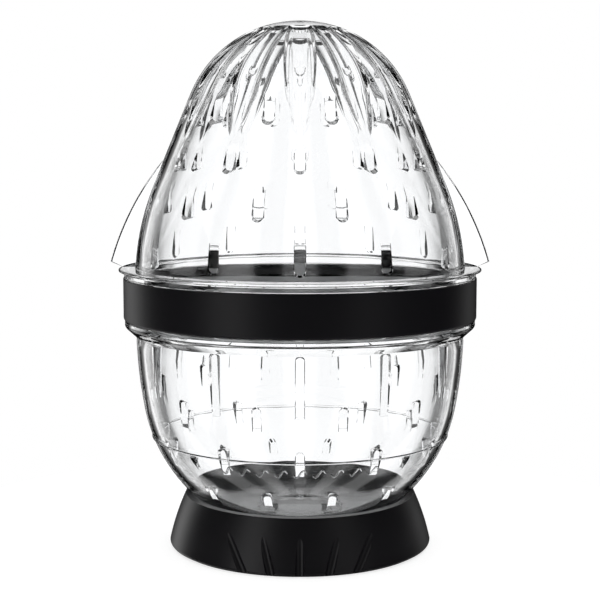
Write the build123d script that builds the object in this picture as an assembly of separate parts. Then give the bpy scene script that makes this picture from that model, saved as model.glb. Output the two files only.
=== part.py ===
from build123d import *
import math
import os

# Hand-shaken egg peeler: a clear egg-shaped shell in two halves. The lid drops into the bowl's mouth
# and bayonet lugs in the black collar hold it shut while boiled eggs and a little water are shaken
# inside. Origin: centre of the resting face. +Z is up, millimetres.

# ---- driving dimensions -------------------------------------------------------------------------
WALL = 2.4                  # clear shells
GAP = 0.3                   # running clearance between pieces that move apart
SNUG = 0.1                  # clearance between pieces that are fixed together
REACH = 200.0               # longer than the whole object, for cutting tools
BITE = 1.0                  # how far pieces that are joined run into each other

# Each shell's outline is a chain of arcs that meet without a corner. A heading is the angle in degrees
# between the outline and straight up, negative where it opens out and positive where it closes in.
BOWL_FLOOR = 8.6            # underside of the bowl
BOWL_START_R = 12.4
BOWL_START_HEADING = -90.0
BOWL_ARCS = [(32.0, -42.7), (50.4, -10.5), (140.0, 0.7)]    # radius, heading at the end
BOWL_FLANGE_R = 54.2
BOWL_FLANGE_EDGE = 1.9      # height of the flange's upright edge
BOWL_FLANGE_DEPTH = 5.0     # where its sloping underside meets the wall
BOWL_FLANGE_ROUND = 1.2
MOUTH_R = 48.5              # inside of the bowl at the joint
SEAT_DEPTH = 1.1            # recess in the flange for the seal
SPIGOT_HEIGHT = 3.0         # short ring on the flange that the collar is pressed over
SPIGOT_THICK = 1.2
STUB_R = 13.8               # stub under the bowl, pressed into the foot
STUB_LENGTH = 3.0
PEG_REACH = 50.0            # length of a peg's stem, past where the wall swallows it
FILL_LINE_Z = 34.9
FILL_LINE_BEAD = 0.35

COLLAR_R = 54.6             # outside of the black collar
COLLAR_BOTTOM = 71.3        # top of the bowl's flange
COLLAR_TOP = 84.2
COLLAR_EDGE = 1.0           # rounding of the collar's lower edge

SKIRT_INNER_R = 49.9        # skirt of the lid
SKIRT_R = 51.3
SKIRT_BOTTOM = 71.9
SKIRT_STEP = 1.0            # the dome's wall starts this far below its outline
LUG_OUT = 1.5               # lugs stand out this far from the skirt
LUG_BOTTOM = 77.0
LUG_TOP = 79.5
LUG_ANGLE = 12.0
LUG_PLAY = 1.5              # degrees of play each side of a lug
LUG_DIRECTIONS = [90.0, 210.0, 330.0]
TURN_ANGLE = 30.0           # from open to locked, clockwise from above

DOME_START_R = 51.0
DOME_START_HEADING = 1.3
DOME_LOW_ARC = (79.5, 22.6)     # radius, heading at the end
DOME_CONE_LENGTH = 29.7
DOME_HIGH_ARC = (35.6, 70.0)
LID_FLANGE_R = 54.3
LID_FLANGE_STEP = 1.7       # height of the flange's upright edge
LID_LIP_R = 56.0
LID_LIP_EDGE = 0.5          # height of the bevel round the lip
LID_LIP_BEVEL = 1.0
LID_FLANGE_TOP = 87.2

FLUTE_COUNT = 12
FLUTE_R = 6.0               # radius of the cutter that makes each flute
FLUTE_LOW_Z = 123.0         # where the cutter's straight part starts, clear of the dome
FLUTE_LOW_DEPTH = -0.45
FLUTE_KNEE_Z = 142.0        # where it starts to bend over the crown
FLUTE_KNEE_DEPTH = 1.65
FLUTE_END_DEPTH = 1.1
FLUTE_RIB = 2.1             # wall left behind a flute, which makes a rib inside

WING_TOP = (42.3, 120.0)    # outer edge of a wing, as radius and height
WING_MIDDLE = (52.7, 104.2)
WING_TIP = (58.8, 88.8)
WING_THICK = 1.8
WING_ROOT_Z = 118.0

PEG_COUNT = 12              # shell-cracking pegs in each row
DOME_PEG_R = 1.6            # rounding of a peg's free end, which is half its width
BOWL_PEG_R = 1.3
# Height of the free end, shift in pitches, and how far the peg stands out there.
DOME_PEG_ROWS = [
    (88.3, 0.0, 1.0),
    (103.1, 0.5, 2.3),
    (116.4, 0.0, 2.6),
    (130.3, 0.5, 2.8),
    (144.1, 0.0, 3.4),
]
BOWL_PEG_ROWS = [(66.0, 0.0, 1.6), (51.3, 0.5, 1.2), (38.0, 0.0, 2.6), (24.8, 0.5, 2.8)]

SEAL_INNER_R = 48.6
SEAL_LIP_R = 49.6
SEAL_BASE_TOP = 71.6
SEAL_TOP = 78.0

FOOT_R = 40.9
FOOT_MIDDLE = (39.2, 8.0)
FOOT_TOP_R = 35.9
FOOT_TOP = 16.6
FOOT_BOTTOM = 0.5           # the pad stands this far below the foot
FOOT_WALL = 2.4
FOOT_EDGE = 1.2             # rounding of the lower edge
FOOT_RIM_HEIGHT = 3.2
GROOVE_ANGLES = [-28.5, -14.2, 0.0, 14.2, 28.5]
GROOVE_LEAN = 1.15          # lean of a groove, as a share of its angle, so that the five spread like a fan
GROOVE_R = 1.4
GROOVE_TOP = (38.1, 11.3)   # deepest line of a groove, as radius and height
GROOVE_BOTTOM = (39.8, 1.0)
GROOVE_REACH = 40.0         # length of the cutter, which leaves the wall at both ends
PAD_INNER_R = 36.9
PAD_OUTER_R = 39.1
PAD_THICK = 1.7


# ---- helpers ------------------------------------------------------------------------------------
def at(radius, height):
    """Point in the half plane that the outlines are drawn in."""
    return Vector(radius, 0, height)


def outward(heading):
    angle = math.radians(heading)
    return Vector(math.cos(angle), 0, math.sin(angle))


def arc_from(start, heading, radius, end_heading, inset=0.0):
    """Arc that leaves a point of the outline on a heading, moved inwards by the inset."""
    centre = start - outward(heading) * radius
    inner = radius - inset
    middle = (heading + end_heading) / 2
    return ThreePointArc(centre + outward(heading) * inner, centre + outward(middle) * inner,
                         centre + outward(end_heading) * inner)


def bowl_outline(inset=0.0):
    curves = []
    point, heading = at(BOWL_START_R, BOWL_FLOOR), BOWL_START_HEADING
    for radius, end_heading in BOWL_ARCS:
        curves.append(arc_from(point, heading, radius, end_heading, inset))
        point, heading = arc_from(point, heading, radius, end_heading) @ 1, end_heading
    return curves


def dome_outline(inset=0.0):
    """Arc, straight cone, arc, and the round crown with its centre on the axis."""
    cone, crown_heading = DOME_LOW_ARC[1], DOME_HIGH_ARC[1]
    start = at(DOME_START_R, COLLAR_TOP)
    low = arc_from(start, DOME_START_HEADING, *DOME_LOW_ARC, inset)
    shoulder = arc_from(start, DOME_START_HEADING, *DOME_LOW_ARC) @ 1
    along = Vector(-math.sin(math.radians(cone)), 0, math.cos(math.radians(cone)))
    knee = shoulder + along * DOME_CONE_LENGTH
    high = arc_from(knee, cone, *DOME_HIGH_ARC, inset)
    rim = arc_from(knee, cone, *DOME_HIGH_ARC) @ 1
    crown = arc_from(rim, crown_heading, rim.X / math.cos(math.radians(crown_heading)), 90.0, inset)
    return [low, Line(low @ 1, high @ 0), high, crown]


def turned(curves):
    """Solid of revolution inside a chain of curves, closed to the axis at both ends."""
    first, last = curves[0] @ 0, curves[-1] @ 1
    edges = list(curves)
    if last.X > 0.001:
        edges.append(Line(last, at(0, last.Z)))
    edges.append(Line(at(0, last.Z), at(0, first.Z)))
    edges.append(Line(at(0, first.Z), first))
    return revolve(make_face(edges), Axis.Z)


def radius_at(curves, height):
    """Radius of a rising chain of curves at a height."""
    for curve in curves:
        if (curve @ 0).Z <= height <= (curve @ 1).Z:
            low, high = 0.0, 1.0
            for _ in range(40):
                middle = (low + high) / 2
                if (curve @ middle).Z < height:
                    low = middle
                else:
                    high = middle
            return (curve @ low).X
    raise ValueError(f"no outline at {height}")


def disc(radius, bottom, top):
    return Pos(0, 0, bottom) * Cylinder(radius, top - bottom, align=(Align.CENTER, Align.CENTER, Align.MIN))


def ring(inner, outer, bottom, top):
    return disc(outer, bottom, top) - disc(inner, bottom, top)


def sector(inner, outer, bottom, top, middle, size):
    """Part of a ring, centred on a direction."""
    corners = [(0, 0)]
    for share in (-1, 0, 1):
        angle = math.radians(size / 2 * share)
        corners.append((REACH * math.cos(angle), REACH * math.sin(angle)))
    wedge = Pos(0, 0, bottom) * extrude(make_face(Polyline(*corners, close=True)), top - bottom)
    return Rot(0, 0, middle) * (ring(inner, outer, bottom, top) & wedge)


def around(shape, angles):
    return [Rot(0, 0, angle) * shape for angle in angles]


def evenly(count, shift=0.0):
    """Directions round the axis, moved on by a share of the pitch."""
    return [360 * (i + shift) / count for i in range(count)]


def peg_row(inner_curves, row, radius, upwards):
    """Pegs with an upright face and a rounded free end, which run on into the narrowing wall."""
    height, shift, out = row
    face = radius_at(inner_curves, height) - out
    side = 1 if upwards else -1
    centre = height + side * radius
    length = out + BITE
    end = Pos(face, 0, centre) * Rot(0, 90, 0) * Cylinder(
        radius, length, align=(Align.CENTER, Align.CENTER, Align.MIN))
    stem = Pos(face, 0, centre) * Box(
        length, 2 * radius, PEG_REACH, align=(Align.MIN, Align.CENTER, Align.MIN if upwards else Align.MAX))
    return around(end + stem, evenly(PEG_COUNT, shift))


# ---- bowl ---------------------------------------------------------------------------------------
SEAT_R = SKIRT_R + GAP + SNUG       # inside of the spigot and of the seal's recess
SPIGOT_R = SEAT_R + SPIGOT_THICK


def make_bowl():
    low = COLLAR_BOTTOM - BOWL_FLANGE_DEPTH
    edge = at(BOWL_FLANGE_R, COLLAR_BOTTOM - BOWL_FLANGE_EDGE)
    flange = turned([Line(at(radius_at(bowl_outline(), low), low), edge),
                     Line(edge, at(BOWL_FLANGE_R, COLLAR_BOTTOM))])
    flange = fillet(flange.edges().filter_by(GeomType.CIRCLE).sort_by(Axis.Z)[1], BOWL_FLANGE_ROUND)
    spigot = disc(SPIGOT_R, COLLAR_BOTTOM - BITE, COLLAR_BOTTOM + SPIGOT_HEIGHT)
    stub = disc(STUB_R, BOWL_FLOOR - STUB_LENGTH, BOWL_FLOOR + BITE)
    fill_line = Pos(0, 0, FILL_LINE_Z) * Torus(radius_at(bowl_outline(), FILL_LINE_Z), FILL_LINE_BEAD)
    outside = turned(bowl_outline()) + flange + spigot + stub + fill_line

    inner = bowl_outline(WALL)
    cavity = turned(inner)
    for row in BOWL_PEG_ROWS:
        cavity -= peg_row(inner, row, BOWL_PEG_R, upwards=False)
    bowl = outside - cavity - disc(MOUTH_R, (inner[-1] @ 1).Z - BITE, REACH)
    return bowl - disc(SEAT_R, COLLAR_BOTTOM - SEAT_DEPTH, REACH)


# ---- lid ----------------------------------------------------------------------------------------
def flute_cutters(radius):
    """Round cutters that run up the cone and bend over the crown."""
    cone = DOME_LOW_ARC[1]
    foot, knee = dome_outline()[1] @ 0, dome_outline()[1] @ 1
    along = (knee - foot).normalized()

    def beside_cone(height, depth):
        return foot + along * ((height - foot.Z) / along.Z) + outward(cone) * (FLUTE_R - depth)

    start = beside_cone(FLUTE_LOW_Z, FLUTE_LOW_DEPTH)
    bend = beside_cone(FLUTE_KNEE_Z, FLUTE_KNEE_DEPTH)
    end = dome_outline()[2] @ 1 + outward(DOME_HIGH_ARC[1]) * (FLUTE_R - FLUTE_END_DEPTH)
    way = (bend - start).normalized()
    path = TangentArc(bend, end, tangent=way)
    straight = Plane(origin=start, z_dir=way) * Cylinder(
        radius, (bend - start).length, align=(Align.CENTER, Align.CENTER, Align.MIN))
    section = Plane(origin=bend, z_dir=way) * Circle(radius)
    curved = revolve(section, Axis(path.arc_center, (0, -1, 0)), math.degrees(path.length / path.radius))
    return around(straight + curved, evenly(FLUTE_COUNT))


def make_wing():
    edge = ThreePointArc(at(*WING_TOP), at(*WING_MIDDLE), at(*WING_TIP))
    root = at(radius_at(dome_outline(), WING_ROOT_Z) - WALL / 2, WING_ROOT_Z)
    low_root = at(MOUTH_R + WALL / 2, LID_FLANGE_TOP - BITE)
    lip = at(LID_LIP_R - LID_LIP_BEVEL, LID_FLANGE_TOP - LID_LIP_EDGE / 2)
    edges = [edge, Line(edge @ 1, lip), Line(lip, low_root), Line(low_root, root), Line(root, edge @ 0)]
    return extrude(make_face(edges), WING_THICK / 2, both=True)


def make_lid():
    dome = turned(dome_outline()) - flute_cutters(FLUTE_R)
    inner = dome_outline(WALL)
    cavity = turned(inner) - flute_cutters(FLUTE_R + FLUTE_RIB)
    for row in DOME_PEG_ROWS:
        cavity -= peg_row(inner, row, DOME_PEG_R, upwards=True)

    upright = at(LID_FLANGE_R, COLLAR_TOP + LID_FLANGE_STEP)
    lip = at(LID_LIP_R, LID_FLANGE_TOP - LID_LIP_EDGE)
    flange = turned([Line(at(LID_FLANGE_R, COLLAR_TOP + SNUG), upright), Line(upright, lip),
                     Line(lip, at(LID_LIP_R - LID_LIP_BEVEL, LID_FLANGE_TOP))])
    skirt = disc(SKIRT_R, SKIRT_BOTTOM, COLLAR_TOP + BITE)
    lugs = [sector(SKIRT_R - WALL / 4, SKIRT_R + LUG_OUT, LUG_BOTTOM, LUG_TOP, angle, LUG_ANGLE)
            for angle in LUG_DIRECTIONS]

    shell = dome + flange + skirt + around(make_wing(), (0, 180)) - cavity
    shell -= disc(SKIRT_INNER_R, 0, COLLAR_TOP - SKIRT_STEP)
    shell -= disc((inner[0] @ 0).X, 0, (inner[0] @ 0).Z)
    return shell + lugs


# ---- seal, collar -------------------------------------------------------------------------------
def make_seal():
    base = ring(SEAL_INNER_R, SKIRT_R + SNUG, COLLAR_BOTTOM - SEAT_DEPTH + SNUG, SEAL_BASE_TOP)
    return base + ring(SEAL_INNER_R, SEAL_LIP_R, SEAL_BASE_TOP, SEAL_TOP)


def make_collar():
    collar = disc(COLLAR_R, COLLAR_BOTTOM, COLLAR_TOP)
    collar = fillet(collar.edges().group_by(Axis.Z)[0], COLLAR_EDGE)
    collar -= disc(SKIRT_R + GAP, 0, REACH)
    collar -= disc(SPIGOT_R + SNUG, 0, COLLAR_BOTTOM + SPIGOT_HEIGHT + SNUG)
    slot_r = SKIRT_R + LUG_OUT + GAP
    width = LUG_ANGLE + 2 * LUG_PLAY
    for angle in LUG_DIRECTIONS:
        collar -= sector(SKIRT_R, slot_r, LUG_BOTTOM - GAP, COLLAR_TOP + BITE, angle, width)
        collar -= sector(SKIRT_R, slot_r, LUG_BOTTOM - GAP, LUG_TOP + GAP, angle - TURN_ANGLE / 2,
                         width + TURN_ANGLE)
    return collar


# ---- foot ---------------------------------------------------------------------------------------
def foot_side(inset=0.0):
    """Flared side of the foot, from the rounded lower edge up."""
    low, high = at(FOOT_R - inset, FOOT_BOTTOM + FOOT_EDGE), at(FOOT_TOP_R - inset, FOOT_TOP - SNUG)
    return ThreePointArc(low, at(FOOT_MIDDLE[0] - inset, FOOT_MIDDLE[1]), high)


def under_bowl(gap):
    """Space of the bowl's lower part, made larger all round."""
    return turned(bowl_outline(-gap)[:2])


def make_foot():
    side = foot_side()
    corner = at(FOOT_R - FOOT_EDGE, FOOT_BOTTOM + FOOT_EDGE)
    rounded = ThreePointArc(at(FOOT_R - FOOT_EDGE, FOOT_BOTTOM), corner + outward(-45) * FOOT_EDGE, side @ 0)
    whole = turned([rounded, side])
    rim_top = FOOT_BOTTOM + FOOT_RIM_HEIGHT
    hollow = turned([foot_side(FOOT_WALL)]) - disc(FOOT_R, 0, rim_top)
    hollow += disc(PAD_INNER_R - BITE, FOOT_BOTTOM - BITE, rim_top)
    foot = whole - under_bowl(SNUG) - (hollow - under_bowl(FOOT_WALL))
    foot -= disc(STUB_R + SNUG, 0, REACH)
    foot -= ring(PAD_INNER_R, PAD_OUTER_R, FOOT_BOTTOM - BITE, PAD_THICK)

    top_r, top_z = GROOVE_TOP
    low_r, low_z = GROOVE_BOTTOM
    way = Vector(0, top_r - low_r, low_z - top_z).normalized()
    middle = Vector(0, -top_r - GROOVE_R, top_z)
    groove = Plane(origin=middle, z_dir=way) * Cylinder(GROOVE_R, GROOVE_REACH)
    across = Axis((0, 0, (top_z + low_z) / 2), (0, 1, 0))
    for angle in GROOVE_ANGLES:
        foot -= around(groove.rotate(across, angle * GROOVE_LEAN), [angle, angle + 180])
    return foot


def make_pad():
    return ring(PAD_INNER_R + SNUG / 2, PAD_OUTER_R - SNUG / 2, 0, PAD_THICK)


os.makedirs("parts", exist_ok=True)
pieces = {"bowl": make_bowl, "lid_dome": make_lid, "lid_seal": make_seal, "lock_collar": make_collar,
          "foot": make_foot, "foot_pad": make_pad}
for name, make in pieces.items():
    export_step(make(), f"parts/{name}.step")
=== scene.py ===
import math

import bmesh
import bpy
import numpy as np
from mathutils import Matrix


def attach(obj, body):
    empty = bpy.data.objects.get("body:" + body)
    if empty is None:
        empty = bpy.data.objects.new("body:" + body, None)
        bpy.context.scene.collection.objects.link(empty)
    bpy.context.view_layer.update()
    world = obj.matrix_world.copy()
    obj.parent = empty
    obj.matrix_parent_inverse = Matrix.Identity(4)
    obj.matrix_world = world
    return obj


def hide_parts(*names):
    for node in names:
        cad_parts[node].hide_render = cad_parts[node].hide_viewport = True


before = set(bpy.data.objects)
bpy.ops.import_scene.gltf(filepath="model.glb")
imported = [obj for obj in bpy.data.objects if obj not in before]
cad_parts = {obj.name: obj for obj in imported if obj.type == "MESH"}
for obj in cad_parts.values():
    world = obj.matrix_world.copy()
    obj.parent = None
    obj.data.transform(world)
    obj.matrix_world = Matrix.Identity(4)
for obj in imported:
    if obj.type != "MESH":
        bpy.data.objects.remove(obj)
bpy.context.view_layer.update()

MM = 0.001

# ---- sizes of the design, in millimetres and degrees ----------------------------------------------
# A heading is the angle between an outline and straight up: negative where the shell opens out,
# positive where it closes in.
WALL = 2.4
BOWL_FLOOR = 8.6
BOWL_START_R = 12.4
BOWL_ARCS = [(32.0, -42.7), (50.4, -10.5), (140.0, 0.7)]      # radius and end heading of each arc
BOWL_FLANGE_R = 54.2
BOWL_FLANGE_ROOT_Z = 66.3       # where the flange's sloping underside leaves the wall
MOUTH_R = 48.5
SEAT_Z = 70.2
SEAT_R = 51.7
SPIGOT_R = 52.9
SPIGOT_TOP = 74.3
STUB_R = 13.8
STUB_Z = 5.6
STUB_EDGE = 0.4
FILL_LINE_Z = 34.9
FILL_LINE_BEAD = 0.35
MARK_COUNT = 9
MARK_SPREAD = 28.0              # degrees from the front to the last mark on each side
MARK_Z = 31.6
MARK_LENGTH = 3.9
MARK_SWING = 1.1                # how far a wave leaves its middle height
MARK_HALF = 0.3                 # half the width of its stroke
MARK_RISE = 0.3                 # how far it stands out

COLLAR_R = 54.6
COLLAR_BOTTOM = 71.3
COLLAR_TOP = 84.2
COLLAR_EDGE = 1.0
COLLAR_BORE = 51.6
COLLAR_HOLD_R = SPIGOT_R + 0.1
COLLAR_LEDGE = SPIGOT_TOP + 0.2
SLOT_R = 53.1
SLOT_LOW, SLOT_HIGH = 76.7, 79.8
SLOT_HALF = 7.5
TURN_ANGLE = 30.0
LUG_DIRECTIONS = (90.0, 210.0, 330.0)
LUG_R = 52.8
LUG_LOW, LUG_HIGH = 77.0, 79.5
LUG_HALF = 6.0

DOME_START_R = 51.0
DOME_HEADING = 1.3
DOME_LOW_ARC = (79.5, 22.6)     # radius and end heading
DOME_CONE_LENGTH = 29.7
DOME_HIGH_ARC = (35.6, 70.0)
RIM_STEP = 0.3                  # degrees past the rim where the crown's first row lies
CROWN_END = 88.5                # the last row beside the point of the crown
SKIRT_INNER_R = 49.9
SKIRT_R = 51.3
SKIRT_BOTTOM = 71.9
SKIRT_STEP = 83.2
LID_FLANGE_LOW = 84.3
LID_FLANGE_R = 54.3
LID_FLANGE_STEP = 85.9
LID_LIP_R = 55.98               # just inside the CAD rim, whose facets stop short of the front
LID_LIP_Z = 86.7
LID_FLANGE_TOP = 87.2

FLUTE_R = 6.0
FLUTE_RIB = 2.1
FLUTE_LOW = (123.0, -0.45)      # height and depth of the cutter at the start of its straight part
FLUTE_KNEE = (142.0, 1.65)      # and at its end
FLUTE_END_DEPTH = 1.1

WING_TOP = (42.3, 120.0)
WING_MIDDLE = (52.7, 104.2)
WING_TIP = (58.8, 88.8)
WING_HALF = 0.9
WING_ROOT_R = 55.0              # radius where a wing's lower edge meets the flange
WING_ROOM = 1.5                 # the edge's rounding shrinks where a wing is narrower than this
FACE_STEP = 0.02                # height over which the flat face of a lug or slot is reached
SIDE_STEP = 0.03                # degrees from the side of a lug or slot to the columns beside it
CORNER = 0.15                   # how much is broken off a small corner

DOME_PEG_R = 1.6                # half the width of a peg
BOWL_PEG_R = 1.3
# Height of a peg's free end, its shift in half pitches, and how far it stands out there.
DOME_PEG_ROWS = [(88.3, 0, 1.0), (103.1, 1, 2.3), (116.4, 0, 2.6), (130.3, 1, 2.8), (144.1, 0, 3.4)]
BOWL_PEG_ROWS = [(66.0, 0, 1.6), (51.3, 1, 1.2), (38.0, 0, 2.6), (24.8, 1, 2.8)]

# ---- studio, in metres and degrees ----------------------------------------------------------------
FLOOR_R = 0.13
SHADE_DISC_R = 0.039               # the part of the floor that the foot covers, painted darker grey as painted shade
FLOOR_SIDES = 96
FLOOR_GLOW = 0.72

PANELS = 8
GAP_EDGE, PANEL_EDGE = -0.5, 0.3        # cosines between which a gap turns into a panel
GAP_LIGHT, PANEL_LIGHT = 0.0, 1.18
TOP_EDGES = (0.55, 0.85)                # heights on a unit sphere between which the ceiling takes over
TOP_LIGHT = 0.3
SHINE_PANELS = 4
SHINE_EDGE = 0.35                       # cosine at which a shining panel starts
SHINE_GAP_LIGHT, SHINE_LIGHT = 0.01, 1.2
SHINE_LEAN = 0.45                       # from left to right the panels lose twice this share of light
SHINE_TOP_EDGES = (0.75, 0.95)
SHINE_TOP_LIGHT = 0.3
AMBIENT_LIGHT = 1.15
CAMERA_LIGHT = 1.0

CAMERA_PLACE = (0.0, -0.45325, 0.12616)
CAMERA_DROP = 6.245                     # degrees below level
CAMERA_LENS = 87.7                      # mm, as is the sensor
CAMERA_SENSOR = 36.0


# ---- outlines -------------------------------------------------------------------------------------
# Rows along the low arc, cone, high arc and crown of the dome, and along the three arcs of the bowl.
OUTER_DOME_COUNTS = (14, 24, 36, 6)
INNER_DOME_COUNTS = (12, 16, 24, 6)
DOME_TABLE_COUNTS = (300, 100, 300, 60)
OUTER_BOWL_COUNTS = (14, 22, 18)
INNER_BOWL_COUNTS = (14, 18, 16)
BOWL_TABLE_COUNTS = (300, 300, 300)
MARK_TABLE_COUNTS = (60, 60, 60)


def outward(heading):
    """Unit vector (radius, height) square to an outline of the given heading."""
    angle = math.radians(heading)
    return np.array([math.cos(angle), math.sin(angle)])


def arc_rows(start, heading, radius, end_heading, inset, count):
    """Rows (radius, height, heading) along an arc of an outline, moved inwards by the inset."""
    centre = np.array(start) - outward(heading) * radius
    rows = []
    for h in np.linspace(heading, end_heading, count):
        rows.append((*(centre + outward(h) * (radius - inset)), h))
    return rows


def dome_rows(inset, counts):
    """Rows from the lower edge of the dome to its crown: arc, straight cone, arc, round crown."""
    cone, crown = DOME_LOW_ARC[1], DOME_HIGH_ARC[1]
    start = (DOME_START_R, COLLAR_TOP)
    rows = arc_rows(start, DOME_HEADING, *DOME_LOW_ARC, inset, counts[0])
    shoulder = np.array(arc_rows(start, DOME_HEADING, *DOME_LOW_ARC, 0, 2)[-1][:2])
    along = np.array([-math.sin(math.radians(cone)), math.cos(math.radians(cone))])
    knee = shoulder + along * DOME_CONE_LENGTH
    low, high = shoulder - outward(cone) * inset, knee - outward(cone) * inset
    for t in np.linspace(0, 1, counts[1] + 1)[1:-1]:
        rows.append((*(low + (high - low) * t), cone))
    rows += arc_rows(knee, cone, *DOME_HIGH_ARC, inset, counts[2])
    rim = np.array(arc_rows(knee, cone, *DOME_HIGH_ARC, 0, 2)[-1][:2])
    crown_radius = rim[0] / math.cos(math.radians(crown))
    rows += arc_rows(rim, crown + RIM_STEP, crown_radius, CROWN_END, inset, counts[3])
    return np.array(rows)


def bowl_rows(inset, counts):
    """Rows from the floor of the bowl to its mouth."""
    rows = []
    point, heading = (BOWL_START_R, BOWL_FLOOR), -90.0
    for (radius, end_heading), count in zip(BOWL_ARCS, counts):
        rows += arc_rows(point, heading, radius, end_heading, inset, count)[1 if rows else 0:]
        point, heading = arc_rows(point, heading, radius, end_heading, 0, 2)[-1][:2], end_heading
    return np.array(rows)


def with_heights(rows, heights):
    """The rows with extra ones at given heights, so that an edge lies on a row."""
    extra = [[np.interp(z, rows[:, 1], rows[:, k]) for k in range(3)] for z in heights]
    merged = np.vstack([rows, extra])
    return merged[np.argsort(merged[:, 1], kind="stable")]


def circle_through(a, b, c):
    """Centre and radius of the circle through three points."""
    a, b, c = (np.array(p, float) for p in (a, b, c))
    centre = np.linalg.solve(2 * np.array([b - a, c - a]), np.array([b @ b - a @ a, c @ c - a @ a]))
    return centre, np.linalg.norm(a - centre)


PATH_STRAIGHT, PATH_CURVED = 70, 160    # points along the two parts of a flute's centre line


def flute_path():
    """Points along the centre line of the round cutter that makes each flute."""
    cone = DOME_LOW_ARC[1]
    rows = dome_rows(0, (2, 1, 2, 2))
    foot, knee, rim = rows[1, :2], rows[2, :2], rows[3, :2]
    along = (knee - foot) / np.linalg.norm(knee - foot)

    def beside_cone(height, depth):
        return foot + along * (height - foot[1]) / along[1] + outward(cone) * (FLUTE_R - depth)

    start, bend = beside_cone(*FLUTE_LOW), beside_cone(*FLUTE_KNEE)
    end = rim + outward(DOME_HIGH_ARC[1]) * (FLUTE_R - FLUTE_END_DEPTH)
    way = (bend - start) / np.linalg.norm(bend - start)
    inwards = np.array([-way[1], way[0]])
    chord = end - bend
    radius = (chord @ chord) / (2 * chord @ inwards)
    centre = bend + inwards * radius
    first, last = (math.atan2(*(point - centre)[::-1]) for point in (bend, end))
    straight = [start + (bend - start) * t for t in np.linspace(0, 1, PATH_STRAIGHT)]
    turns = np.linspace(first, last, PATH_CURVED)
    curved = [centre + radius * np.array([math.cos(a), math.sin(a)]) for a in turns]
    return np.array(straight + curved[1:])


# ---- surfaces -------------------------------------------------------------------------------------
# Everything but the wings, lugs, slots and fill marks repeats every 30 degrees and is the same on both
# sides of a flute, so each surface is worked out for half a pitch and then turned and mirrored into a
# full ring.
COLUMNS = 20
PITCHES = 12
HALF_PITCH = math.radians(15.0)
FLANK = 0.09                    # half the width of the slope at a peg's side
END_SLOPE = 0.3                 # half the height of the slope at its free end
PEG_END_STEPS = (-1.6, -0.8, -END_SLOPE, END_SLOPE, 0.8, 1.6)       # heights of the rows round it
EDGE = 0.12                     # half the width of the rounding along a flute
SPREAD = 4.0                    # how far above and below a peg's free end the rows still bend round it
BESIDE = 0.4                    # distance from a peg's side to the next column
NARROWEST = 0.9                 # least half width that the columns of a flute or rib gather to
FLUTE_ROOM = 0.6                # least distance from a flute's edge to the end of the half pitch
RIB_ROOM = 0.5                  # the same for a rib that carries a peg
RIB_PEG_ROOM = 3.0              # and where a peg stands at that end
RIB_GAP = 0.3                   # least distance from the columns round a peg to the rib's edge
NARROW_PITCH = 6.0              # where half a pitch is less, the columns near a peg draw together
LEAST_DRAW = 0.2                # the smallest share they keep
PEG_SHARES = np.array([0, 0.35, 0.65, 0.85])
FLUTE_SHARES = np.array([0, 0.18, 0.36, 0.54, 0.7, 0.84])
RIB_SHARES = np.array([0, 0.25, 0.5, 0.75, 0.9])
DEEPEST_CUT = 6.0
CUT_NOISE = 0.001               # cuts less deep than this are left out
HALVINGS = 20                   # steps of the search for a cut's edge
PUSH_HALVINGS = 18              # and for its depth
LEAN_STEPS = 5                  # rounds that settle the rows on the ribs at their heights


def full_ring(half):
    """Values of all columns round the axis, from those of half a pitch."""
    pitch = np.hstack([half[:, :-1], half[:, :0:-1]])
    return np.tile(pitch, (1, PITCHES))


def full_angles(half):
    """Angles of all columns round the axis, from those of half a pitch."""
    pitch = np.hstack([half[:, :-1], 2 * HALF_PITCH - half[:, :0:-1]])
    return np.hstack([pitch + 2 * HALF_PITCH * k for k in range(PITCHES)])


def ring_points(radii, heights, theta):
    a, r, z = full_angles(theta), full_ring(radii), full_ring(heights)
    return np.stack([r * np.cos(a), r * np.sin(a), z], -1)


def even_columns(radii):
    return np.tile(np.linspace(0, HALF_PITCH, COLUMNS), (len(radii), 1))


def turned_rows(profile, theta=None):
    """Rings of points for a turned profile of (radius, height)."""
    profile = np.array(profile, float)
    theta = even_columns(profile) if theta is None else theta
    radii, heights = (np.repeat(profile[:, k:k + 1], COLUMNS, 1) for k in (0, 1))
    return ring_points(radii, heights, theta)


def from_path(across, along_r, heights, path):
    """Distance of points from the centre line of the flute in front of them."""
    flat = np.stack([along_r, heights], -1)[..., None, :] - path
    return np.sqrt((flat ** 2).sum(-1).min(-1) + across ** 2)


def flute_width(radii, heights, path, cutter):
    """Half the width, in mm, of the cut that a round cutter leaves in a turned surface."""
    low, high = np.zeros(len(radii)), np.full(len(radii), HALF_PITCH)
    for _ in range(HALVINGS):
        middle = (low + high) / 2
        inside = from_path(radii * np.sin(middle), radii * np.cos(middle), heights, path) < cutter
        low, high = np.where(inside, middle, low), np.where(inside, high, middle)
    return low * radii


def pushed(radii, heights, headings, theta, path, cutter):
    """The surface moved inwards, square to itself, as far as the cutter reaches."""
    lean = np.radians(headings)
    low, high = np.zeros(radii.shape), np.full(radii.shape, DEEPEST_CUT)
    for _ in range(PUSH_HALVINGS):
        middle = (low + high) / 2
        r, z = radii - middle * np.cos(lean), heights - middle * np.sin(lean)
        inside = from_path(r * np.sin(theta), r * np.cos(theta), z, path) < cutter
        low, high = np.where(inside, middle, low), np.where(inside, high, middle)
    push = np.where(low < CUT_NOISE, 0.0, low) * (headings <= DOME_HIGH_ARC[1])
    return radii - push * np.cos(lean), heights - push * np.sin(lean)


def spaced(start, stop, count):
    """Evenly spaced values after the start and before the stop, for arrays of both."""
    return start[:, None] + (stop - start)[:, None] * np.arange(1, count + 1) / (count + 1)


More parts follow.
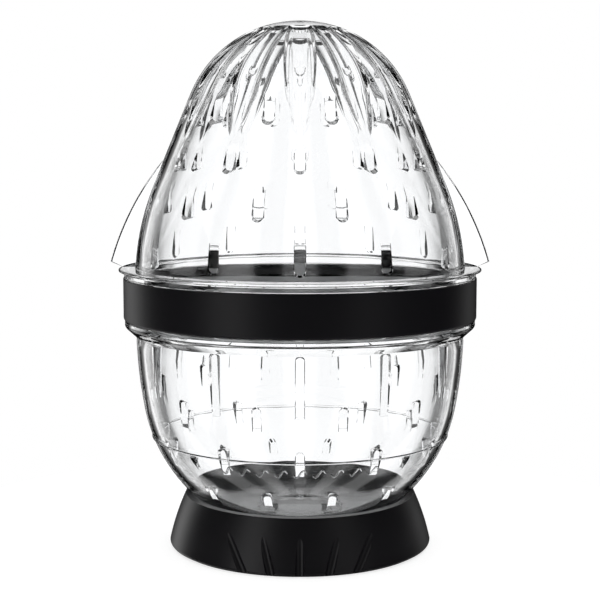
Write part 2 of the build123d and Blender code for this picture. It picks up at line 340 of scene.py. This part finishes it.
def fluted_columns(radii, widths):
    """Columns that follow the two edges of each flute."""
    reach = radii * HALF_PITCH
    width = np.clip(widths, NARROWEST, reach - FLUTE_ROOM)
    inside = width[:, None] * FLUTE_SHARES
    edges = np.stack([width - EDGE, width + EDGE], -1)
    outside = spaced(width + EDGE, reach, COLUMNS - len(FLUTE_SHARES) - 3)
    return np.hstack([inside, edges, outside, reach[:, None]]) / radii[:, None]


def peg_side(half_width):
    """How far from the middle of a peg the columns lie that follow its face and its side."""
    return np.concatenate([PEG_SHARES * half_width,
                           [half_width - FLANK, half_width + FLANK, half_width + BESIDE]])


def joined_columns(left, right, radii):
    """Two groups of columns with evenly spaced ones between them, as angles."""
    count = COLUMNS - left.shape[1] - right.shape[1]
    return np.hstack([left, spaced(left[:, -1], right[:, 0], count), right]) / radii[:, None]


def peg_columns(radii, half_width):
    """Columns that follow the sides of the pegs at both ends of the half pitch."""
    reach = radii * HALF_PITCH
    left = np.tile(peg_side(half_width), (len(radii), 1))
    return joined_columns(left, reach[:, None] - left[:, ::-1], radii)


def rib_columns(radii, widths, half_width, carries_pegs):
    """Columns that follow the edges of the ribs and the sides of the pegs on them or between them."""
    reach = radii * HALF_PITCH
    near = peg_side(half_width)
    if carries_pegs:
        near = near * np.clip(reach / NARROW_PITCH, LEAST_DRAW, 1.0)[:, None]
        width = np.clip(widths, near[:, -1] + RIB_GAP, reach - RIB_ROOM)
        edges = np.stack([width - EDGE, width + EDGE], -1)
        gap = spaced(near[:, -1], width - EDGE, 2)
        return joined_columns(np.hstack([near, gap, edges]), reach[:, None], radii)
    width = np.clip(widths, NARROWEST, reach - RIB_PEG_ROOM)
    left = np.hstack([width[:, None] * RIB_SHARES, np.stack([width - EDGE, width + EDGE], -1)])
    return joined_columns(left, reach[:, None] - near[::-1], radii)


def blended(first, second, share):
    """Rows that pass from one set of columns to another."""
    return first + (second - first) * np.clip(share, 0, 1)[:, None]


def peg_weight(levels, level, side, half_width):
    """How strongly each row bends round a peg's free end, from 0 to 1."""
    return np.clip(1 - np.abs(levels - level - side * half_width) / SPREAD, 0, 1)[:, None]


def beside_peg(theta, shift, face):
    """Distance of each column from the middle of a peg, measured across its face."""
    return np.abs(face * np.sin(theta - shift * HALF_PITCH))


def bent_levels(levels, theta, table, pegs, half_width, side):
    """Heights of the rows, which bend round the free ends of the pegs."""
    heights = np.repeat(levels[:, None], COLUMNS, 1)
    for level, shift, out in pegs:
        face = np.interp(level, table[:, 1], table[:, 0]) - out
        bulge = np.sqrt(np.maximum(half_width ** 2 - beside_peg(theta, shift, face) ** 2, 0))
        heights = heights - side * bulge * peg_weight(levels, level, side, half_width)
    return heights


def with_pegs(radii, levels, theta, table, pegs, half_width, side):
    """Radii of the inner surface with the upright faces of the pegs standing in from it."""
    for level, shift, out in pegs:
        face = np.interp(level, table[:, 1], table[:, 0]) - out
        inside = beside_peg(theta, shift, face) < half_width
        past_end = (side * (levels - level) > half_width)[:, None]
        flat = face / np.cos(theta - shift * HALF_PITCH)
        radii = np.where(inside & past_end, np.minimum(radii, flat), radii)
    return radii


def peg_levels(pegs, half_width, side):
    """Heights of the extra rows round the free ends of the pegs."""
    return [level + side * half_width + step for level, _, _ in pegs for step in PEG_END_STEPS]


# ---- meshes ---------------------------------------------------------------------------------------
SHARP_ANGLE = 20.0              # edges that bend more than this stay crisp
MERGE = 1e-6                    # metres


def make_piece(name, mesh, body, replaced, material):
    """Cleans a mesh, gives it its finish and makes it ride on a body."""
    build = bmesh.new()
    build.from_mesh(mesh)
    bmesh.ops.remove_doubles(build, verts=build.verts, dist=MERGE)
    bmesh.ops.dissolve_degenerate(build, edges=build.edges, dist=MERGE)
    bmesh.ops.recalc_face_normals(build, faces=build.faces)
    build.to_mesh(mesh)
    build.free()
    piece = bpy.data.objects.new(name, mesh)
    bpy.context.scene.collection.objects.link(piece)
    mesh.shade_smooth()
    mesh.set_sharp_from_angle(angle=math.radians(SHARP_ANGLE))
    mesh.materials.append(material)
    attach(piece, body)
    if replaced:
        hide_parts(replaced)


def grid_mesh(name, points, closed):
    """Mesh from rings of points. A closed profile joins its last ring to its first; an open one ends
    in a point on the axis at both ends."""
    rings, columns = points.shape[:2]
    verts = (points.reshape(-1, 3) * MM).tolist()
    index = np.arange(rings * columns).reshape(rings, columns)
    nxt = np.roll(index, -1, axis=1)
    low, low_next = np.roll(index, -1, axis=0), np.roll(nxt, -1, axis=0)
    count = rings if closed else rings - 1
    faces = np.stack([index[:count], low[:count], low_next[:count], nxt[:count]], -1)
    faces = faces.reshape(-1, 4).tolist()
    if not closed:
        for ring in (0, rings - 1):
            pole = len(verts)
            verts.append([0, 0, points[ring, 0, 2] * MM])
            faces += [[pole, int(a), int(b)] for a, b in zip(index[ring], nxt[ring])]
    mesh = bpy.data.meshes.new(name)
    mesh.from_pydata(verts, [], faces)
    return mesh


# ---- materials ------------------------------------------------------------------------------------
def new_material(name, **values):
    """A material with its node tree and shader, whose sockets get the given values."""
    material = bpy.data.materials.new(name)
    material.use_nodes = True
    tree = material.node_tree
    shader = tree.nodes["Principled BSDF"]
    for key, value in values.items():
        shader.inputs[key.replace("_", " ")].default_value = value
    return material, tree, shader


def node(tree, kind, **values):
    """A new node with the given settings and socket values."""
    made = tree.nodes.new(kind)
    for key, value in values.items():
        if hasattr(made, key):
            setattr(made, key, value)
        else:
            made.inputs[key.replace("_", " ")].default_value = value
    return made


def noises(tree, *settings):
    """Noise textures in the object's own space, one for each set of values."""
    place = node(tree, "ShaderNodeTexCoord")
    made = [node(tree, "ShaderNodeTexNoise", **values) for values in settings]
    for noise in made:
        tree.links.new(place.outputs["Object"], noise.inputs["Vector"])
    return [noise.outputs["Fac"] for noise in made]


def vary_colour(tree, shader, noise, first, second):
    shade = node(tree, "ShaderNodeMix", data_type="RGBA")
    shade.inputs[6].default_value = (*first, 1)
    shade.inputs[7].default_value = (*second, 1)
    tree.links.new(noise, shade.inputs[0])
    tree.links.new(shade.outputs[2], shader.inputs["Base Color"])


def vary_roughness(tree, shader, noise, low, high):
    rough = node(tree, "ShaderNodeMapRange", To_Min=low, To_Max=high)
    tree.links.new(noise, rough.inputs["Value"])
    tree.links.new(rough.outputs["Result"], shader.inputs["Roughness"])


def raise_grain(tree, shader, noise, strength, distance):
    bump = node(tree, "ShaderNodeBump", Strength=strength, Distance=distance)
    tree.links.new(noise, bump.inputs["Height"])
    tree.links.new(bump.outputs["Normal"], shader.inputs["Normal"])


def clear_plastic():
    """Clear plastic with the slight waviness that the melt leaves as it flows."""
    material, tree, shader = new_material("clear_plastic", Base_Color=(0.985, 0.99, 0.995, 1),
                                          Transmission_Weight=1.0, IOR=1.54)
    flow, = noises(tree, {"Scale": 60.0, "Detail": 2.0})
    vary_roughness(tree, shader, flow, 0.0, 0.03)
    raise_grain(tree, shader, flow, 0.05, 0.0005)
    return material


GLOSS_SPREAD = 0.06             # how far the black plastic's roughness strays from its middle value


def black_plastic(name, roughness, specular):
    """Black plastic with a fine moulded grain and a cloudy gloss."""
    material, tree, shader = new_material(name, Specular_IOR_Level=specular)
    grain, cloud = noises(tree, {"Scale": 2600.0, "Detail": 3.0, "Roughness": 0.6},
                          {"Scale": 35.0, "Detail": 3.0})
    vary_colour(tree, shader, cloud, (0.0034, 0.0030, 0.0042), (0.0052, 0.0047, 0.0062))
    vary_roughness(tree, shader, cloud, roughness - GLOSS_SPREAD, roughness + GLOSS_SPREAD)
    raise_grain(tree, shader, grain, 0.12, 0.0002)
    return material


def silicone():
    """Milky, half clear silicone rubber."""
    material, tree, shader = new_material("silicone", Roughness=0.42, Transmission_Weight=0.5, IOR=1.41)
    cloud, = noises(tree, {"Scale": 90.0, "Detail": 3.0})
    vary_colour(tree, shader, cloud, (0.80, 0.81, 0.82), (0.88, 0.885, 0.89))
    raise_grain(tree, shader, cloud, 0.1, 0.0003)
    return material


CLEAR = clear_plastic()
BLACK_COLLAR = black_plastic("black_collar", roughness=0.36, specular=0.3)
BLACK_FOOT = black_plastic("black_foot", roughness=0.34, specular=0.42)
PAD_RUBBER = black_plastic("pad_rubber", roughness=0.7, specular=0.3)
SILICONE = silicone()


# ---- lid ------------------------------------------------------------------------------------------
def outer_dome(path):
    """Rings of the dome's outside from its crown down to the flange, with both wings."""
    rows = dome_rows(0, OUTER_DOME_COUNTS)
    rows = rows[rows[:, 1] > LID_FLANGE_TOP + 0.1]
    tip, top = WING_TIP[1], WING_TOP[1]
    rows = with_heights(rows, [LID_FLANGE_TOP + 0.02, LID_FLANGE_TOP + 0.5, tip - 0.1, tip, tip + 0.1,
                               top - 1.0, top - 0.4, top])[::-1]
    radii, heights, headings = rows.T
    theta = fluted_columns(radii, flute_width(radii, heights, path, FLUTE_R))
    grid = [np.repeat(values[:, None], COLUMNS, 1) for values in (radii, heights, headings)]
    points = ring_points(*pushed(*grid, theta, path, FLUTE_R), theta)
    pull_out_wings(points, rows)
    return points


RIBS_START, HIGH_PEGS_START = 122.0, 138.5      # heights where the inside's columns change
COLUMN_CHANGE = 3.0                             # height over which they do


def inner_dome(path):
    """Rings of the dome's inside from the skirt up to the crown, with ribs and pegs."""
    table = dome_rows(WALL, DOME_TABLE_COUNTS)
    rows = with_heights(dome_rows(WALL, INNER_DOME_COUNTS), peg_levels(DOME_PEG_ROWS, DOME_PEG_R, 1))
    radii, levels, headings = rows.T
    widths = flute_width(radii, levels, path, FLUTE_R + FLUTE_RIB)
    theta = blended(peg_columns(radii, DOME_PEG_R), rib_columns(radii, widths, DOME_PEG_R, False),
                    (levels - RIBS_START) / COLUMN_CHANGE)
    theta = blended(theta, rib_columns(radii, widths, DOME_PEG_R, True),
                    (levels - HIGH_PEGS_START) / COLUMN_CHANGE)
    target = bent_levels(levels, theta, table, DOME_PEG_ROWS, DOME_PEG_R, 1)
    crown = (headings > DOME_HIGH_ARC[1])[:, None]
    tilt = np.repeat(headings[:, None], COLUMNS, 1)
    weight = peg_weight(levels, DOME_PEG_ROWS[-1][0], 1, DOME_PEG_R)
    # A rib's surface moves down as well as in. Near the highest pegs, which stand on the ribs, the rows
    # start higher until they end at the heights that the pegs need.
    nominal = target.copy()
    for _ in range(LEAN_STEPS):
        base = np.where(crown, radii[:, None], np.interp(nominal, table[:, 1], table[:, 0]))
        lean = np.where(crown, tilt, np.interp(nominal, table[:, 1], table[:, 2]))
        out_r, out_z = pushed(base, nominal, lean, theta, path, FLUTE_R + FLUTE_RIB)
        nominal = nominal + weight * (target - out_z)
    out_r = with_pegs(out_r, levels, theta, table, DOME_PEG_ROWS, DOME_PEG_R, 1)
    return ring_points(out_r, out_z, theta)


def lid_flange():
    """Rings of the flange, from the dome's wall over the lip and down to the skirt."""
    profile = [(50.97, LID_FLANGE_TOP), (52.5, LID_FLANGE_TOP), (54.0, LID_FLANGE_TOP),
               (WING_ROOT_R, LID_FLANGE_TOP), (55.6, 87.05), (55.9, 86.88), (LID_LIP_R, LID_LIP_Z),
               (55.9, 86.5), (54.42, 85.98), (LID_FLANGE_R, LID_FLANGE_STEP - CORNER), (LID_FLANGE_R, 85.0),
               (LID_FLANGE_R, 84.42), (54.2, 84.33), (54.05, LID_FLANGE_LOW), (53.0, LID_FLANGE_LOW),
               (51.6, LID_FLANGE_LOW), (51.38, 84.22), (SKIRT_R, 84.0), (SKIRT_R, 82.0)]
    points = turned_rows(profile, fluted_columns(np.array(profile)[:, 0], np.zeros(len(profile))))
    bury_wing_columns(points[:4])
    return points


def lid_skirt():
    """Rings of the skirt with its lugs, from below the flange round to the step inside."""
    profile = np.array([(SKIRT_R, 80.5), (SKIRT_R, LUG_HIGH + FACE_STEP), (LUG_R, LUG_HIGH),
                        (LUG_R, LUG_LOW), (SKIRT_R, LUG_LOW - FACE_STEP), (SKIRT_R, 74.5),
                        (SKIRT_R, 72.3), (51.2, 72.0), (51.0, SKIRT_BOTTOM), (50.2, SKIRT_BOTTOM),
                        (50.0, 72.0), (SKIRT_INNER_R, 72.3), (SKIRT_INNER_R, 78.0),
                        (SKIRT_INNER_R, SKIRT_STEP - 0.3), (49.8, SKIRT_STEP - 0.08),
                        (49.6, SKIRT_STEP), (48.62, SKIRT_STEP)])
    degrees = np.concatenate([np.linspace(0, LUG_HALF - SIDE_STEP, 8),
                              np.linspace(LUG_HALF + SIDE_STEP, 15, COLUMNS - 8)])
    theta = np.tile(np.radians(degrees), (len(profile), 1))
    points = turned_rows(profile, theta)
    turns = np.degrees(full_angles(theta))
    apart = np.abs((turns[..., None] - np.array(LUG_DIRECTIONS) + 180) % 360 - 180).min(-1)
    radius = np.hypot(points[..., 0], points[..., 1])
    shrink = np.where((apart > LUG_HALF) & (radius > SKIRT_R), SKIRT_R / radius, 1.0)
    points[..., :2] *= shrink[..., None]
    return points


def build_lid():
    path = flute_path()
    points = np.vstack([outer_dome(path), lid_flange(), lid_skirt(), inner_dome(path)])
    mesh = grid_mesh("lid_shell", points, False)
    make_piece("lid_shell", mesh, "lid", "lid_dome", CLEAR)


def wing_edge(heights):
    """Radius of a wing's edge, an arc through its top, middle and tip."""
    centre, radius = circle_through(WING_TOP, WING_MIDDLE, WING_TIP)
    side = np.sqrt(np.maximum(radius ** 2 - (heights - centre[1]) ** 2, 0))
    return centre[0] + side if WING_MIDDLE[0] > centre[0] else centre[0] - side


# Place of each column beside a wing's middle: how far to the side, and how far back from the edge.
WING_COLUMNS = [(0.0, 0.0), (0.6, 0.09), (WING_HALF, 0.5)]


def wing_places(points):
    """The column in line with each wing, and which way along X it points."""
    return ((0, 1.0), (points.shape[1] // 2, -1.0))


def put_column(ring, column, direction, radius, side):
    ring[column % len(ring), :2] = direction * radius, direction * side


def pull_out_wings(points, rows):
    """Pulls the columns in line with the wings out to the wings' edge."""
    low_edge = np.interp(rows[:, 1], [LID_FLANGE_TOP, WING_TIP[1]], [WING_ROOT_R, WING_TIP[0]])
    edge = np.where(rows[:, 1] >= WING_TIP[1], wing_edge(rows[:, 1]), low_edge)
    for middle, direction in wing_places(points):
        for i in np.nonzero((rows[:, 1] < WING_TOP[1]) & (edge > rows[:, 0]))[0]:
            room = min(1.0, (edge[i] - rows[i, 0]) / WING_ROOM)
            for sign in (-1, 1):
                for order, (side, back) in enumerate(WING_COLUMNS):
                    reach = max(edge[i] - back * room, rows[i, 0])
                    put_column(points[i], middle + sign * order, direction, reach, sign * side)
                wall = math.sqrt(rows[i, 0] ** 2 - WING_HALF ** 2)
                put_column(points[i], middle + sign * len(WING_COLUMNS), direction, wall, sign * WING_HALF)


def bury_wing_columns(points):
    """On the flange's flat top the wing covers the columns in line with it, so they gather at its end."""
    for middle, direction in wing_places(points):
        for ring in points:
            radius = math.hypot(*ring[middle, :2])
            for sign in (-1, 1):
                for order, (side, _) in enumerate(WING_COLUMNS):
                    reach = max(WING_ROOT_R, radius)
                    put_column(ring, middle + sign * order, direction, reach, sign * side)
                wall = math.sqrt(radius ** 2 - WING_HALF ** 2)
                put_column(ring, middle + sign * len(WING_COLUMNS), direction, wall, sign * WING_HALF)


# ---- bowl -----------------------------------------------------------------------------------------
def outer_bowl():
    """Rings of the bowl's outside: stub, wall with the fill line, flange, spigot and seat."""
    rows = bowl_rows(0, OUTER_BOWL_COUNTS)
    root = BOWL_FLANGE_ROOT_Z
    rows = rows[(rows[:, 0] > STUB_R + 0.05) & (rows[:, 1] < root - 0.3)]
    # Rows on and beside the fill line, in parts of its bead.
    beside = (0.4, 0.75, 0.95, 1.05, 1.5)
    bead = [FILL_LINE_Z + FILL_LINE_BEAD * k for k in (*(-b for b in beside[::-1]), 0, *beside)]
    rows = with_heights(rows, bead)
    swell = np.sqrt(np.maximum(FILL_LINE_BEAD ** 2 - (rows[:, 1] - FILL_LINE_Z) ** 2, 0))
    stub = [(6.0, STUB_Z), (STUB_R - STUB_EDGE, STUB_Z), (STUB_R, STUB_Z + STUB_EDGE), (STUB_R, BOWL_FLOOR)]
    profile = stub + [(r + s, z) for (r, z, _), s in zip(rows, swell)]
    profile += [(50.62, root - 0.05), (50.72, root + 0.06), (51.2, root + 0.42)]
    edge = BOWL_FLANGE_R - 0.35
    profile += [(53.2, 68.55), (edge, 69.14), (54.08, 69.45), (BOWL_FLANGE_R, 69.8), (BOWL_FLANGE_R, 70.5),
                (BOWL_FLANGE_R, 71.15), (54.1, COLLAR_BOTTOM), (53.2, COLLAR_BOTTOM), (SPIGOT_R, 71.35),
                (SPIGOT_R, 72.5), (SPIGOT_R, SPIGOT_TOP - CORNER), (52.75, SPIGOT_TOP), (51.85, SPIGOT_TOP),
                (SEAT_R, SPIGOT_TOP - CORNER), (SEAT_R, 72.0), (SEAT_R, SEAT_Z), (50.0, SEAT_Z),
                (MOUTH_R + 0.2, SEAT_Z), (MOUTH_R, SEAT_Z - CORNER)]
    return turned_rows(profile)


def inner_bowl():
    """Rings of the bowl's inside from the seat down to the floor, with its pegs."""
    table = bowl_rows(WALL, BOWL_TABLE_COUNTS)
    rows = bowl_rows(WALL, INNER_BOWL_COUNTS)
    rows = with_heights(rows[rows[:, 1] < SEAT_Z - 0.4], peg_levels(BOWL_PEG_ROWS, BOWL_PEG_R, -1))[::-1]
    radii, levels, _ = rows.T
    theta = peg_columns(radii, BOWL_PEG_R)
    heights = bent_levels(levels, theta, table, BOWL_PEG_ROWS, BOWL_PEG_R, -1)
    flat = (levels < BOWL_FLOOR + WALL + 0.5)[:, None]
    out_r = np.where(flat, radii[:, None], np.interp(heights, table[:, 1], table[:, 0]))
    out_r = with_pegs(out_r, levels, theta, table, BOWL_PEG_ROWS, BOWL_PEG_R, -1)
    return ring_points(out_r, heights, theta)


def build_bowl():
    floor = turned_rows([(8.0, BOWL_FLOOR + WALL), (3.0, BOWL_FLOOR + WALL)])
    points = np.vstack([outer_bowl(), inner_bowl(), floor])
    mesh = grid_mesh("bowl_shell", points, False)
    make_piece("bowl_shell", mesh, "base", "bowl", CLEAR)


# ---- fill marks -----------------------------------------------------------------------------------
FRONT = -90.0                   # degrees
MARK_STEPS = 33
MARK_ROUND = 12


def mark_strip(bearing):
    """One wave of the marks: rings of points round a thin strip that lies on the bowl's outside."""
    outline = bowl_rows(0, MARK_TABLE_COUNTS)
    along = np.linspace(-1, 1, MARK_STEPS)
    middle_r = np.interp(MARK_Z, outline[:, 1], outline[:, 0])
    angle = bearing + along * MARK_LENGTH / 2 / middle_r
    height = MARK_Z + MARK_SWING * np.sin(math.pi * along)
    step = np.stack([np.gradient(angle) * middle_r, np.gradient(height)], -1)
    step /= np.linalg.norm(step, axis=1, keepdims=True)
    # The strip thins out towards its two ends.
    taper = np.sqrt(np.clip(1.02 - along ** 4, 0, 1))[:, None]
    turn = np.linspace(0, 2 * math.pi, MARK_ROUND + 1)[:-1]
    across, rise = MARK_HALF * taper * np.cos(turn), MARK_RISE * taper * np.sin(turn)
    a = angle[:, None] - across * step[:, 1:] / middle_r
    z = height[:, None] + across * step[:, :1]
    r = np.interp(z, outline[:, 1], outline[:, 0]) + rise
    return np.stack([r * np.cos(a), r * np.sin(a), z], -1)


def build_fill_marks():
    """A row of small raised waves at the front, under the fill line."""
    verts, faces = [], []
    for place in np.linspace(-1, 1, MARK_COUNT):
        strip = mark_strip(math.radians(FRONT + place * MARK_SPREAD))
        index = len(verts) + np.arange(MARK_STEPS * MARK_ROUND).reshape(MARK_STEPS, MARK_ROUND)
        nxt = np.roll(index, -1, axis=1)
        verts += (strip.reshape(-1, 3) * MM).tolist()
        faces += np.stack([index[:-1], nxt[:-1], nxt[1:], index[1:]], -1).reshape(-1, 4).tolist()
        faces += [index[0, ::-1].tolist(), index[-1].tolist()]
    mesh = bpy.data.meshes.new("fill_marks")
    mesh.from_pydata(verts, [], faces)
    make_piece("fill_marks", mesh, "base", None, CLEAR)


# ---- collar, and the finishes of the CAD nodes ----------------------------------------------------
COLLAR_COLUMN_STEP = 1.5        # degrees


def coat(node_name, material):
    """Gives a carried-over CAD node its finish."""
    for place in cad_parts[node_name].material_slots:
        place.material = material


def build_collar():
    """The collar's ring: its outside, and its bore with the entries and runs of the slots."""
    edge = COLLAR_EDGE
    profile = [(COLLAR_HOLD_R, COLLAR_BOTTOM)]
    for angle in np.linspace(-90, 0, 9):
        profile.append((COLLAR_R - edge + edge * math.cos(math.radians(angle)),
                        COLLAR_BOTTOM + edge * (1 + math.sin(math.radians(angle)))))
    profile += [(COLLAR_R, 76.0), (COLLAR_R, 80.0), (COLLAR_R, 83.9), (54.55, 84.1), (54.4, COLLAR_TOP),
                (53.8, COLLAR_TOP), (53.2, COLLAR_TOP)]
    inner = [COLLAR_TOP, COLLAR_TOP - CORNER, 82.0, SLOT_HIGH + FACE_STEP, SLOT_HIGH, 78.2, SLOT_LOW,
             SLOT_LOW - FACE_STEP, 75.5, COLLAR_LEDGE]
    fine = np.arange(0, 360, COLLAR_COLUMN_STEP)
    edges = []
    for direction in LUG_DIRECTIONS:
        for turn in (-SLOT_HALF - TURN_ANGLE, -SLOT_HALF, SLOT_HALF):
            edges += [direction + turn - SIDE_STEP, direction + turn + SIDE_STEP]
    degrees = np.array(sorted(set(np.round(np.concatenate([fine, np.array(edges) % 360]), 4))))
    angles = np.radians(degrees)
    radii, heights = [], []
    for r, z in profile:
        radii.append(np.full(len(angles), r))
        heights.append(z)
    for k, z in enumerate(inner):
        r = np.full(len(angles), COLLAR_BORE + (CORNER if k == 0 else 0.0))
        for direction in LUG_DIRECTIONS:
            turn = (degrees - direction + 180) % 360 - 180
            entry = (np.abs(turn) < SLOT_HALF) & (z >= SLOT_LOW)
            run = (turn < SLOT_HALF) & (turn > -SLOT_HALF - TURN_ANGLE)
            run &= SLOT_LOW <= z <= SLOT_HIGH
            r[entry | run] = SLOT_R
        radii.append(r)
        heights.append(z)
    radii.append(np.full(len(angles), COLLAR_HOLD_R))
    heights.append(COLLAR_LEDGE)
    r, z = np.array(radii), np.repeat(np.array(heights)[:, None], len(angles), 1)
    points = np.stack([r * np.cos(angles), r * np.sin(angles), z], -1)
    mesh = grid_mesh("collar_ring", points, True)
    make_piece("collar_ring", mesh, "base", "lock_collar", BLACK_COLLAR)


# ---- stage, light, camera -------------------------------------------------------------------------
def lit_floor():
    """White and slightly glowing, so that only the foot's shadow shows. Rays mirrored or bent by the
    object look past it, so that the lower parts' edges are as dark as the dome's."""
    material, tree, shader = new_material("floor_white", Base_Color=(0.4, 0.4, 0.4, 1), Roughness=0.8,
                                          Specular_IOR_Level=0.0, Emission_Color=(1, 1, 1, 1),
                                          Emission_Strength=FLOOR_GLOW)
    rays = node(tree, "ShaderNodeLightPath")
    open_air = node(tree, "ShaderNodeBsdfTransparent")
    choice = node(tree, "ShaderNodeMixShader")
    tree.links.new(rays.outputs["Is Glossy Ray"], choice.inputs[0])
    tree.links.new(shader.outputs[0], choice.inputs[1])
    tree.links.new(open_air.outputs[0], choice.inputs[2])
    tree.links.new(choice.outputs[0], tree.nodes["Material Output"].inputs["Surface"])
    return material


def painted_shade_floor():
    # Painted shade: the floor under the foot gets a darker grey and no glow, standing in for the shade the
    # foot casts there.
    return new_material("floor_under_foot_painted_shade", Base_Color=(0.2, 0.2, 0.2, 1), Roughness=0.8)[0]


def build_stage():
    """A round white table: a lit ring round the foot, and the disc under it painted darker grey without
    glow as painted shade.
    """
    angles = np.linspace(0, 2 * math.pi, FLOOR_SIDES + 1)[:-1]
    rings = [[(r * math.cos(a), r * math.sin(a), 0) for a in angles] for r in (SHADE_DISC_R, FLOOR_R)]
    index = np.arange(2 * len(angles)).reshape(2, -1)
    nxt = np.roll(index, -1, axis=1)
    faces = [index[0].tolist()] + np.stack([index[0], index[1], nxt[1], nxt[0]], -1).tolist()
    mesh = bpy.data.meshes.new("floor")
    mesh.from_pydata(rings[0] + rings[1], [], faces)
    mesh.materials.append(lit_floor())
    mesh.materials.append(painted_shade_floor())
    # The middle disc carries the painted shade under the foot.
    mesh.polygons[0].material_index = 1
    floor = bpy.data.objects.new("floor", mesh)
    bpy.context.scene.collection.objects.link(floor)


def chain(tree, source, *steps):
    """A run of Math nodes, each one an operation and its second value."""
    for operation, value in steps:
        made = node(tree, "ShaderNodeMath", operation=operation)
        made.inputs[1].default_value = value
        tree.links.new(source, made.inputs[0])
        source = made.outputs[0]
    return source


def between(tree, source, low, high, dark, bright):
    """A smooth step of the light from dark to bright while the source goes from low to high."""
    made = node(tree, "ShaderNodeMapRange", interpolation_type="SMOOTHSTEP", From_Min=low, From_Max=high,
                To_Min=dark, To_Max=bright)
    tree.links.new(source, made.inputs["Value"])
    return made.outputs["Result"]


def mixed(tree, factor, first, second):
    """A mix of two values or sockets."""
    made = node(tree, "ShaderNodeMix", data_type="FLOAT")
    for socket, value in ((made.inputs[0], factor), (made.inputs[2], first), (made.inputs[3], second)):
        if isinstance(value, float):
            socket.default_value = value
        else:
            tree.links.new(value, socket)
    return made.outputs[0]


def build_world():
    """A white studio. Rays that have passed through the clear parts meet eight tall bright panels all
    round with dark gaps between them, which give the shells their dark edges. Rays mirrored by the
    surfaces meet four panels, brighter on the left, and diffuse ones an even light. What the camera
    sees past the object is plain white."""
    world = bpy.data.worlds.new("studio")
    bpy.context.scene.world = world
    world.cycles.sampling_method = "NONE"
    world.use_nodes = True
    tree = world.node_tree
    way = node(tree, "ShaderNodeTexCoord")
    split = node(tree, "ShaderNodeSeparateXYZ")
    tree.links.new(way.outputs["Generated"], split.inputs[0])
    bearing = node(tree, "ShaderNodeMath", operation="ARCTAN2")
    tree.links.new(split.outputs["X"], bearing.inputs[0])
    tree.links.new(split.outputs["Y"], bearing.inputs[1])
    wave = chain(tree, bearing.outputs[0], ("MULTIPLY", float(PANELS)), ("COSINE", 0.0))
    field = between(tree, wave, GAP_EDGE, PANEL_EDGE, GAP_LIGHT, PANEL_LIGHT)
    overhead = between(tree, split.outputs["Z"], *TOP_EDGES, 0.0, 1.0)
    field = mixed(tree, overhead, field, TOP_LIGHT)
    rays = node(tree, "ShaderNodeLightPath")
    wave = chain(tree, bearing.outputs[0], ("MULTIPLY", float(SHINE_PANELS)), ("COSINE", 0.0),
                 ("MULTIPLY", -1.0))
    shine = between(tree, wave, SHINE_EDGE, 1.0, SHINE_GAP_LIGHT, SHINE_LIGHT)
    lean = chain(tree, split.outputs["X"], ("MULTIPLY", -SHINE_LEAN), ("ADD", 1 - SHINE_LEAN))
    leaning = node(tree, "ShaderNodeMath", operation="MULTIPLY")
    tree.links.new(shine, leaning.inputs[0])
    tree.links.new(lean, leaning.inputs[1])
    overhead = between(tree, split.outputs["Z"], *SHINE_TOP_EDGES, 0.0, 1.0)
    shine = mixed(tree, overhead, leaning.outputs[0], SHINE_TOP_LIGHT)
    level = mixed(tree, rays.outputs["Is Diffuse Ray"], shine, AMBIENT_LIGHT)
    level = mixed(tree, rays.outputs["Is Transmission Ray"], level, field)
    level = mixed(tree, rays.outputs["Is Camera Ray"], level, CAMERA_LIGHT)
    tree.nodes["Background"].inputs["Color"].default_value = (1, 1, 1, 1)
    tree.links.new(level, tree.nodes["Background"].inputs["Strength"])


def build_camera():
    data = bpy.data.cameras.new("camera")
    camera = bpy.data.objects.new("camera", data)
    bpy.context.scene.collection.objects.link(camera)
    camera.location = CAMERA_PLACE
    camera.rotation_euler = (math.radians(90 - CAMERA_DROP), 0, 0)
    data.sensor_width = CAMERA_SENSOR
    data.lens = CAMERA_LENS
    bpy.context.scene.camera = camera


build_lid()
build_bowl()
build_fill_marks()
build_collar()
coat("foot", BLACK_FOOT)
coat("foot_pad", PAD_RUBBER)
coat("lid_seal", SILICONE)
build_stage()
build_world()
build_camera()

bpy.context.scene.view_settings.view_transform = "Standard"
bpy.context.scene.cycles.transmission_bounces = 24
bpy.context.scene.cycles.max_bounces = 28
bpy.context.scene.cycles.glossy_bounces = 8
